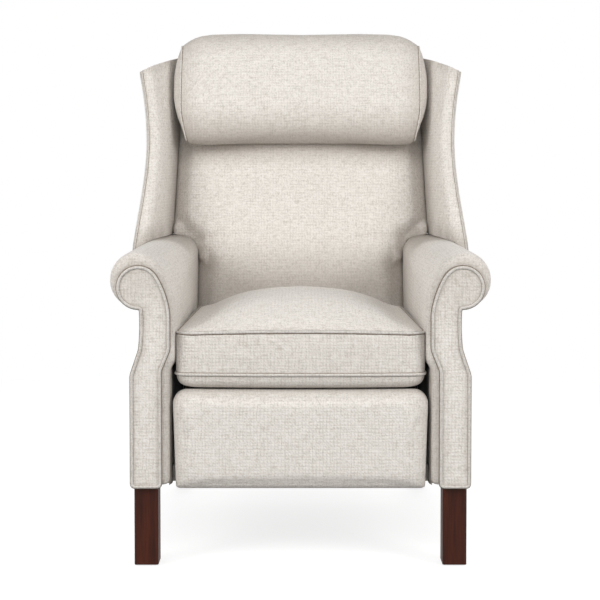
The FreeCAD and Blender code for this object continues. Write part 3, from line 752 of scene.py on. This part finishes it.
def build_cushion():
    """The loose box cushion: pinned along its two welts, blown up above, below and between them."""
    low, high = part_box("seat_cushion")
    low_seam = low.z + cushion_low_seam
    high_seam = low.z + cushion_high_seam
    piece = remeshed("seat_cushion_soft", [nodes["seat_cushion"]], voxel, smoothing=3)

    def held(p):
        return min(abs(p.z - low_seam), abs(p.z - high_seam)) < voxel * 0.8 or p.z < low.z + 0.010

    inflate(piece, held, pressure=3.0, cap=0.009)
    relax(piece, rounds=3)
    lines = []
    for z in (low_seam, high_seam):
        loop = section_loop(piece, Vector((0, 0, z)), Vector((0, 0, 1)))
        lines.append([sagged(p, low_seam, high_seam) for p in softened(thinned(loop), rounds=4)])
    for vertex in piece.data.vertices:
        vertex.co = sagged(vertex.co, low_seam, high_seam)
    for tag, line in zip(("lower", "upper"), lines):
        welt("seat_cushion_welt_" + tag, *sewn_on(piece, line), "seat")

    # Painted shade along the welts, on the crown below the inside back, on the front edge above the footrest, at
    # the sides and lightly over the front
    rear = across(25, 0.050, high.z)
    under = across(25, low.y + 0.006, low.z - 0.006)
    beside = [Vector((side * cushion_half, low.y + 0.02 * i, z))
              for side in (1, -1) for z in (low_seam, high_seam) for i in range(25)]
    front = [p for j in range(10) for p in across(27, low.y, low_seam + 0.01 * j)]
    shade(piece, *[shadow(line, reach=0.008, depth=0.30) for line in lines],
          shadow(rear, reach=0.080, depth=0.40), shadow(under, reach=0.034, depth=0.40),
          shadow(beside, reach=0.034, depth=0.30), shadow(front, reach=0.030, depth=0.10))
    finish_piece(piece, "seat", ["seat_cushion"])


def shoulder_filler(side):
    """The part of the inside back that fills the corner above the arm's rounded inner top."""
    rows = []
    for out in (pad_rear_out, pad_face_out):
        rows.append([back_point(side * x, up_at(z, out), out) for x, z in arm_shoulder])
    return skin("filler", rows)


def build_inside_back():
    """The inside back: its face is blown up between the wings, and its edges are drawn in."""
    fillers = [shoulder_filler(side) for side in (1, -1)]
    piece = remeshed("inside_back_soft", [nodes["inside_back"]] + fillers, voxel_coarse, smoothing=5)
    for filler in fillers:
        bpy.data.objects.remove(filler)

    def behind(p):
        return back_out(p) < pad_start_out

    inflate(piece, behind, pressure=2.0, cap=0.010, axis=out_axis)
    relax(piece, rounds=3)
    puff(piece, smoothing_loss)
    for vertex in piece.data.vertices:
        p = vertex.co
        above_arms = between(p.z, step_height - 0.02, step_height + 0.06)
        half = arm_gap_half + (pad_half(back_up(p)) - arm_gap_half) * above_arms
        edge = 1 - min(max((half - abs(p.x)) / crown_edge, 0.0), 1.0)
        face = between(back_out(p), pad_start_out, pad_full_out)
        vertex.co -= out_axis * crown_draw * edge ** 2 * face

    # Painted shade in the creases beside the wings, where the arms meet the back, under the bolster and above the
    # cushion
    creases = [back_point(side * pad_half(up), up, crease_out) for side in (1, -1) for up in crease_ups]
    beside_arms = [back_point(side * x, up_at(z, pad_face_out), pad_face_out)
                   for side in (1, -1) for x, z in shoulder_edge]
    under_bolster = across_back(29, bolster_low + 0.004, bolster_rear)
    on_cushion = across(25, 0.080, 0.535)
    shade(piece, shadow(creases, reach=0.050, depth=0.08), shadow(beside_arms, reach=0.050, depth=0.50),
          shadow(under_bolster, reach=0.060, depth=0.55), shadow(on_cushion, reach=0.140, depth=0.42))
    finish_piece(piece, "back", ["inside_back"])


def rounded(value, power):
    """A sine or cosine, fuller in the corners the higher the power is above 2."""
    return math.copysign(abs(value) ** (2 / power), value)


def bolster_ring(x, foot, top, front):
    """A slice of the bolster: an oval, flatter behind than in front."""
    low, high = bolster_low + foot, bolster_high - top
    ring = []
    for i in range(bolster_points):
        turn = math.tau * i / bolster_points
        reach = bolster_face - front - bolster_middle
        if math.sin(turn) < 0:
            reach = bolster_middle - bolster_rear - front / 3
        up = (low + high) / 2 + (high - low) / 2 * rounded(math.cos(turn), bolster_power)
        ring.append(back_point(x, up, bolster_middle + reach * rounded(math.sin(turn), bolster_power)))
    return ring


def bolster_seam(side):
    """The line round an end panel, a little further in at the foot."""
    line = []
    for i in range(bolster_points):
        low = max(-math.cos(math.tau * i / bolster_points), 0.0)
        x = bolster_seam_x - bolster_seam_foot * low ** 6
        line.append(bolster_ring(side * x, *along(bolster_slices, x))[i])
    return line


def build_bolster():
    """The head bolster: a long round pillow with a welted, domed panel at each end."""
    slices = [(-x, *draws) for x, *draws in bolster_slices[:0:-1]] + list(bolster_slices)
    start = skin("bolster_start", [bolster_ring(*row) for row in slices])
    piece = remeshed("head_bolster_soft", [start], voxel, smoothing=1)
    bpy.data.objects.remove(start)

    def held(p):
        return back_out(p) < bolster_held_out or abs(abs(p.x) - bolster_seam_x) < voxel

    inflate(piece, held, pressure=2.0, cap=0.006)
    relax(piece, rounds=2)
    lines = []
    for tag, side in (("left", -1), ("right", 1)):
        line = softened(thinned(bolster_seam(side)), rounds=2)
        lines.append(line)
        welt("head_bolster_welt_" + tag, *sewn_on(piece, line, fine_welt), "back", radius=fine_welt)

    # Painted shade along the end welts and round the end panels, under the foot and over the crown
    foot = across_back(28, bolster_low, 0.205)
    crown = across_back(29, bolster_high - 0.004, 0.222)
    shade(piece, *[shadow(line, reach=0.006, depth=0.45) for line in lines],
          shadow(foot, reach=0.105, depth=0.55), shadow(crown, reach=0.080, depth=0.46),
          *[shadow(line, reach=0.060, depth=0.30) for line in lines])
    finish_piece(piece, "back", ["head_bolster"])


def build_footrest():
    """The footrest pad: its outline stays crisp and its face is crowned."""
    low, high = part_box("footrest_pad")
    piece = remeshed("footrest_pad_soft", [nodes["footrest_pad"]], voxel, smoothing=2)

    def behind(p):
        return p.y > high.y - 0.012

    inflate(piece, behind, pressure=2.5, cap=0.007, axis=Vector((0, -1, 0)))
    relax(piece, rounds=2)
    puff(piece, distance=0.001)

    # Painted shade along the bottom edge, under the top edge and at the ends
    foot = across(26, low.y, low.z)
    head = across(26, low.y + 0.012, high.z)
    ends = [Vector((side * high.x, low.y, low.z + 0.01 * i)) for side in (1, -1) for i in range(20)]
    shade(piece, shadow(foot, reach=0.060, depth=0.12), shadow(head, reach=0.026, depth=0.40),
          shadow(ends, reach=0.034, depth=0.30))
    finish_piece(piece, "footrest", ["footrest_pad"])


def build_arms():
    """The arms: foam and cover over the side frame, well rounded round the flat front."""
    start = remeshed("arm_start", [nodes["arm_left"]], voxel, smoothing=3)
    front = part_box("arm_left")[0].y
    group = start.vertex_groups.new(name="front")
    for vertex in start.data.vertices:
        weight = 1 - between(vertex.co.y, front + 0.012, front + 0.045)
        if weight > 0:
            group.add([vertex.index], weight, "REPLACE")
    smooth = start.modifiers.new("front", "SMOOTH")
    smooth.factor = smoothing_factor
    smooth.iterations = 45
    smooth.vertex_group = "front"
    bpy.context.view_layer.update()
    piece = evaluated_copy(start, "arm_left_soft")
    bpy.data.objects.remove(start)
    puff(piece, smoothing_loss)

    # Painted shade at the join with the inside back, in the gap beside the footrest, on the top below the wing,
    # and round the front facing, most on the roll
    at_back = [Vector((-x, 0.118, z)) for x, z in shoulder_edge]
    at_back += [Vector((-0.262, 0.105, z / 100)) for z in range(50, 60)]
    low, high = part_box("side_frame_left")
    gap = [Vector((high.x, low.y + 0.01 * i, low.z + 0.01 * j)) for i in range(12) for j in range(25)]
    under_wing = [Vector((-x / 100, y / 100, 0.661)) for x in (29, 31, 33, 35) for y in range(-2, 22)]
    edge = softened(thinned(front_outline("arm_facing_left")), rounds=1)
    roll = [p for p in edge if p.z > 0.50]
    shade(piece, shadow(at_back, reach=0.300, depth=0.48), shadow(at_back, reach=0.020, depth=0.15),
          shadow(gap, reach=0.036, depth=0.95), shadow(under_wing, reach=0.060, depth=0.60),
          shadow(edge, reach=0.016, depth=0.35), shadow(roll, reach=0.050, depth=0.40))
    other = mirrored(piece, "arm_right_soft")
    finish_piece(piece, "base", ["arm_left"])
    finish_piece(other, "base", ["arm_right"])


def build_linings():
    """Linen turned in round the inner side of each arm, over the wooden side frame."""
    low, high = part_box("side_frame_left")
    x = high.x
    front, rear = low.y - lining_forward, low.y + lining_depth
    steps = 24
    depths = [front + (rear - front) * i / steps for i in range(1, steps)]
    rings = []
    for z in [low.z - lining_drop + lining_step * i for i in range(21)]:
        ring = [Vector((x - lining_tuck, front - lining_tuck, z))]
        ring += [Vector((x + lining_lift, y, z)) for y in depths]
        ring += [Vector((x + lining_hem_lift, rear, z))]
        rings.append(ring)
    piece = skin("arm_lining_left", rings)
    # Painted shade, down to near black, deep inside between the arm and the seat
    inside = [Vector((x, front + 0.03 + 0.01 * i, low.z + 0.02 * j)) for i in range(26) for j in range(14)]
    shade(piece, shadow(inside, reach=0.055, depth=1.4))
    other = mirrored(piece, "arm_lining_right")
    finish_piece(piece, "base", subdivide=False)
    finish_piece(other, "base", subdivide=False)


def wrapped(name, node, body, painted_darkness):
    """Linen wrapped round a rail, with an even painted shade over all of it: 1 is near black, for cloth inside the
    chair, which no light reaches.
    """
    low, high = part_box(node)
    corners = ((low.y - rail_wrap, low.z + rail_wrap), (low.y - rail_wrap, high.z + rail_wrap),
               (high.y + rail_wrap, high.z + rail_wrap), (high.y + rail_wrap, low.z + rail_wrap))
    rings = [[Vector((x, y, z)) for y, z in corners]
             for x in (low.x + rail_wrap, low.x / 2, 0.0, high.x / 2, high.x - rail_wrap)]
    piece = skin(name, rings)
    shade(piece, everywhere=painted_darkness)
    finish_piece(piece, body, subdivide=False)


def front_outline(node):
    """The outline of a node's foremost flat face, as ordered points."""
    front_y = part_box(node)[0].y
    mesh = bmesh.new()
    mesh.from_mesh(nodes[node].data)
    bmesh.ops.remove_doubles(mesh, verts=mesh.verts, dist=1e-5)
    front = [f for f in mesh.faces if all(v.co.y < front_y + 1e-4 for v in f.verts)]
    inside = set(front)
    neighbours = edge_neighbours(edge for face in front for edge in face.edges
                                 if sum(f in inside for f in edge.link_faces) == 1)
    vertex = next(iter(neighbours))
    chain = []
    while vertex is not None:
        chain.append(vertex)
        vertex = next((n for n in neighbours[vertex] if n not in chain), None)
    points = [v.co.copy() for v in chain]
    mesh.free()
    return points


def build_facings():
    """The flat facings on the front of the arms, with a welt round each."""
    outline = front_outline("arm_facing_left")
    line = softened(thinned(outline, spacing=0.004), rounds=2)
    piece = remeshed("arm_facing_left_soft", [nodes["arm_facing_left"]], voxel_facing, smoothing=4)
    # Painted shade beside the welt and over the head of the scroll
    head = [Vector((-0.338, outline[0].y, 0.590))]
    shade(piece, shadow(line, reach=0.008, depth=0.30), shadow(line, reach=0.022, depth=0.22),
          shadow(head, reach=0.110, depth=0.24))
    other = mirrored(piece, "arm_facing_right_soft")
    finish_piece(piece, "base", ["arm_facing_left"], subdivide=False)
    finish_piece(other, "base", ["arm_facing_right"], subdivide=False)
    pair = [[p + Vector((0, back, 0)) for p in line] for back in (0.0, welt_radius)]
    welt("arm_facing_welt_left", *pair, "base")
    welt("arm_facing_welt_right", *mirrored_lines(pair), "base")


def wing_foot(x, out):
    """How low the wing reaches: it rests over the roll of the arm, closest at the front."""
    room = wing_room * between(wing_room_out - out, 0.0, wing_room_out)
    aside = x - roll_x
    if aside < 0:
        return roll_crest_z + room
    reach = roll_reach + room
    return max(wing_low_z, roll_z + math.sqrt(max(reach * reach - aside * aside, 0.0)))


def wing_profile(up):
    """A slice of the wing as (x, out): up the inner side, round the broad front and back outside."""
    tip_out, tip_x = along(wing_stations, up)
    root = pad_half(up) + 0.0004
    face = tip_x - wing_face
    outer = root + wing_root
    inner = [(root, wing_rear_out), (root, 0.030), (root, crease_out - 0.010),
             (root + 0.003, crease_out + 0.012),
             (root + (face - root) * 0.55, crease_out + (tip_out - crease_out) * 0.62),
             (face - 0.001, tip_out - 0.026)]
    front = [(face + 0.009, tip_out - 0.006), (tip_x - 0.023, tip_out), (tip_x - 0.008, tip_out - 0.001),
             (tip_x - 0.0005, tip_out - 0.006), (tip_x, tip_out - 0.020)]
    outside = [(tip_x - 0.014, tip_out * 0.55), (outer + 0.012, 0.030), (outer, wing_rear_out + 0.006),
               (outer - 0.006, wing_rear_out)]
    return inner + front + outside


def wing_ring(share):
    """The points of the wing at a share of its height, from its foot to its sloping top.
    The profile depends on the height and the height on the profile, so a few rounds settle them."""
    start = wing_start_up + wing_start_height * share
    ring = []
    for i in range(len(wing_profile(start))):
        up = start
        for _ in range(4):
            x, out = wing_profile(up)[i]
            low = up_at(wing_foot(x, out), out)
            up = low + share * (up_at(along(wing_top, x)[0], out) - low)
        ring.append(back_point(x, up, out))
    return ring


def build_wings():
    """The wings: padded panels that leave the back in a deep crease and roll out to a broad front."""
    rings = [wing_ring(share) for share in wing_shares]
    piece = skin("wing_right_soft", rings, smoothing=2)
    edge = [ring[wing_welt_point] + Vector((wing_welt_offset, 0, 0)) for ring in rings]
    line = settled(piece, softened(thinned(edge, closed=False), rounds=2, closed=False))
    # Painted shade along the welt, in the crease beside the back, over the arm and along the top
    crease = [back_point(pad_half(up), up, crease_out) for up in crease_ups]
    over_arm = rings[0][2:11]
    top = rings[-1]
    shade(piece, shadow(line, reach=0.006, depth=0.80), shadow(crease, reach=0.110, depth=0.66),
          shadow(over_arm, reach=0.050, depth=0.50), shadow(top, reach=0.030, depth=0.25),
          shadow(line, reach=0.022, depth=0.06))
    other = mirrored(piece, "wing_left_soft")
    finish_piece(piece, "back", ["wing_right"], subdivide=False)
    finish_piece(other, "back", ["wing_left"], subdivide=False)
    pair = sewn_on(piece, line, edge_welt)
    welt("wing_welt_right", *pair, "back", closed=False, radius=edge_welt)
    welt("wing_welt_left", *mirrored_lines(pair), "back", closed=False, radius=edge_welt)


def panel_outline(inset):
    """Half of the outside back's outline as (x, up): narrow between the arms, wide above them."""
    step = up_at(step_height, panel_rear_out)
    low, high = panel_low_up + inset, back_top_up - inset
    corners = ((panel_low_half - inset, low), (panel_low_half - inset, step + inset),
               (pad_half(step) - inset, step + inset), (pad_half(high) - inset, high))
    points = [(0.0, low)]
    for a, b in zip(((0.0, low),) + corners, corners + ((0.0, high),)):
        count = max(int(math.dist(a, b) / 0.010), 1)
        for k in range(1, count + 1):
            points.append((a[0] + (b[0] - a[0]) * k / count, a[1] + (b[1] - a[1]) * k / count))
    return points


def build_outside_back():
    """The outside back, with a welt round it."""
    piece = remeshed("outside_back_soft", [nodes["outside_back"]], voxel_fine, smoothing=3)
    half = panel_outline(panel_welt_inset)
    outline = [back_point(x, up, panel_rear_out) for x, up in half]
    outline += [back_point(-x, up, panel_rear_out) for x, up in reversed(half[1:-1])]
    line = settled(piece, softened(thinned(outline), rounds=2))
    # Painted shadow beside the welt
    shade(piece, shadow(line, reach=0.007, depth=0.60))
    finish_piece(piece, "back", ["outside_back"])
    welt("outside_back_welt", *sewn_on(piece, line, fine_welt), "back", radius=fine_welt)


def build_back_top():
    """Linen over the top of the back, between its inside and its outside."""
    steps = 10
    section = [(back_top_rear_out, back_top_up - back_top_hem)]
    for k in range(steps + 1):
        share = k / steps
        out = back_top_rear_out + (back_top_front_out - back_top_rear_out) * share
        section.append((out, back_top_up - back_top_rise * (1 - math.sin(math.pi * share))))
    section.append((back_top_front_out, back_top_up - back_top_hem))
    rings = [[back_point(back_top_half * k / 8, up, out) for out, up in section] for k in range(-8, 9)]
    cover = skin("back_top_cover", rings)
    shade(cover)
    finish_piece(cover, "back", subdivide=False)


def build_post_covers():
    """Linen round the posts of the back, which show beside the outside back below the wings."""
    low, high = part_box("back_post_left")
    x0, x1 = low.x - post_wrap, high.x + post_wrap
    rear, front = post_rear_out - post_wrap, post_front_out + post_wrap
    corners = ((x0, rear), (x0, front), (x1, front), (x1, rear))
    rings = [[back_point(x, up, out) for x, out in corners]
             for up in [post_low_up + post_cover_step * k for k in range(13)]]
    piece = skin("back_post_cover_left", rings)
    shade(piece)
    other = mirrored(piece, "back_post_cover_right")
    finish_piece(piece, "back", subdivide=False)
    finish_piece(other, "back", subdivide=False)


dress_frame()
build_cushion()
build_inside_back()
build_bolster()
build_footrest()
build_arms()
build_linings()
wrapped("front_rail_cover", "front_cross_rail", "base", painted_darkness=0.0)
# The cover under the seat is painted near black all over, as shade
wrapped("seat_rail_cover", "seat_front_rail", "seat", painted_darkness=1.0)
build_facings()
build_wings()
wrapped("rear_panel_cover", "rear_panel", "base", painted_darkness=0.0)
build_outside_back()
build_back_top()
build_post_covers()

# Camera: in front of the middle of the chair and tilted down a little. Its shift does the rest of the
# framing.
image_width = 600.0
focal_pixels = 1353.0
camera_distance = 2.788
camera_height = 0.850
horizon_pixel = 159.3
camera_tilt = math.radians(2.0)
centre_pixel = 300.5
sensor = 36.0

# Lights: name, place, what it faces, width and height, and power in watts
lights = (("key", (-0.4, -3.2, 3.3), (0, 0, 0.6), (2.6, 2.0), 42),
          ("fill", (0.3, -4.6, 1.5), (0, 0, 0.6), (2.4, 1.8), 6),
          ("side_left", (-2.6, -2.2, 1.7), (0, 0, 0.7), (1.4, 1.8), 57),
          ("side_right", (2.6, -2.2, 1.7), (0, 0, 0.7), (1.4, 1.8), 57),
          ("behind", (0.6, 3.4, 3.0), (0, 0, 0.6), (3.0, 2.0), 34))
world_light = 0.345
world_seen = 1.0
floor_reach = 12.0
floor_glow = 0.77
floor_fade = (0.9, 2.2)


def build_camera():
    """The camera, with the photograph's lens, height and framing."""
    data = bpy.data.cameras.new("camera")
    data.sensor_width = sensor
    data.lens = sensor * focal_pixels / image_width
    data.shift_x = (image_width / 2 - centre_pixel) / image_width
    horizon = horizon_pixel + focal_pixels * math.tan(camera_tilt)
    data.shift_y = (horizon - image_width / 2) / image_width
    data.clip_end = 50.0
    camera = bpy.data.objects.new("camera", data)
    camera.location = (0, cad_box[0].y - camera_distance, camera_height)
    camera.rotation_euler = (math.pi / 2 - camera_tilt, 0, 0)
    scene.collection.objects.link(camera)
    scene.camera = camera


def area_light(name, place, target, size, power):
    """A soft rectangular lamp that faces the target."""
    data = bpy.data.lights.new(name, "AREA")
    data.shape = "RECTANGLE"
    data.size, data.size_y = size
    data.energy = power
    light = bpy.data.objects.new(name, data)
    light.location = place
    light.rotation_euler = (Vector(target) - Vector(place)).to_track_quat("-Z", "Y").to_euler()
    scene.collection.objects.link(light)


def rays_seen(tree):
    """1 for rays that see the backdrop directly, by reflection or through glass, and 0 for light."""
    path = tree.nodes.new("ShaderNodeLightPath")
    seen = path.outputs["Is Camera Ray"]
    for name in ("Is Glossy Ray", "Is Transmission Ray"):
        either = tree.nodes.new("ShaderNodeMath")
        either.operation = "MAXIMUM"
        tree.links.new(seen, either.inputs[0])
        tree.links.new(path.outputs[name], either.inputs[1])
        seen = either.outputs[0]
    return seen


def build_studio():
    """The lights, and a world that is white where it is seen and dimmer as light."""
    for light in lights:
        area_light(*light)
    world = bpy.data.worlds.new("studio")
    scene.world = world
    world.use_nodes = True
    tree = world.node_tree
    strength = tree.nodes.new("ShaderNodeMix")
    strength.data_type = "FLOAT"
    tree.links.new(rays_seen(tree), strength.inputs["Factor"])
    strength.inputs[2].default_value = world_light
    strength.inputs[3].default_value = world_seen
    background = tree.nodes["Background"]
    tree.links.new(strength.outputs[0], background.inputs["Strength"])
    background.inputs["Color"].default_value = white


def build_floor():
    """A pale floor that keeps the shadow near the chair and fades to white around it."""
    s = Shader("floor")
    speck = s.noise((30.0, 30.0, 30.0))
    s.finish(s.ramp(speck, ((0.3, floor_dark), (0.7, floor_light))), Roughness=0.9)
    seen = rays_seen(s.tree)
    place = s.add("TexCoord").outputs["Object"]
    distance = s.add("VectorMath", {0: place}, operation="LENGTH").outputs["Value"]
    far = s.remap(distance, floor_fade, interpolation_type="SMOOTHSTEP")
    glow = s.add("Emission", {"Color": white, "Strength": s.math("MULTIPLY", seen, floor_glow)})
    near_floor = s.add("AddShader", {0: s.surface.outputs[0], 1: glow.outputs[0]})
    far_floor = s.add("Emission", {"Color": white, "Strength": 1.0})
    share = s.math("MULTIPLY", far, seen)
    blend = s.add("MixShader", {0: share, 1: near_floor.outputs[0], 2: far_floor.outputs[0]})
    s.tree.links.new(blend.outputs[0], s.tree.nodes["Material Output"].inputs["Surface"])
    data = bpy.data.meshes.new("floor")
    corners = [(x * floor_reach, y * floor_reach, 0) for x, y in ((-1, -1), (1, -1), (1, 1), (-1, 1))]
    data.from_pydata(corners, [], [(0, 1, 2, 3)])
    floor = bpy.data.objects.new("floor", data)
    data.materials.append(s.material)
    scene.collection.objects.link(floor)


build_camera()
build_studio()
build_floor()
scene.view_settings.view_transform = "Standard"
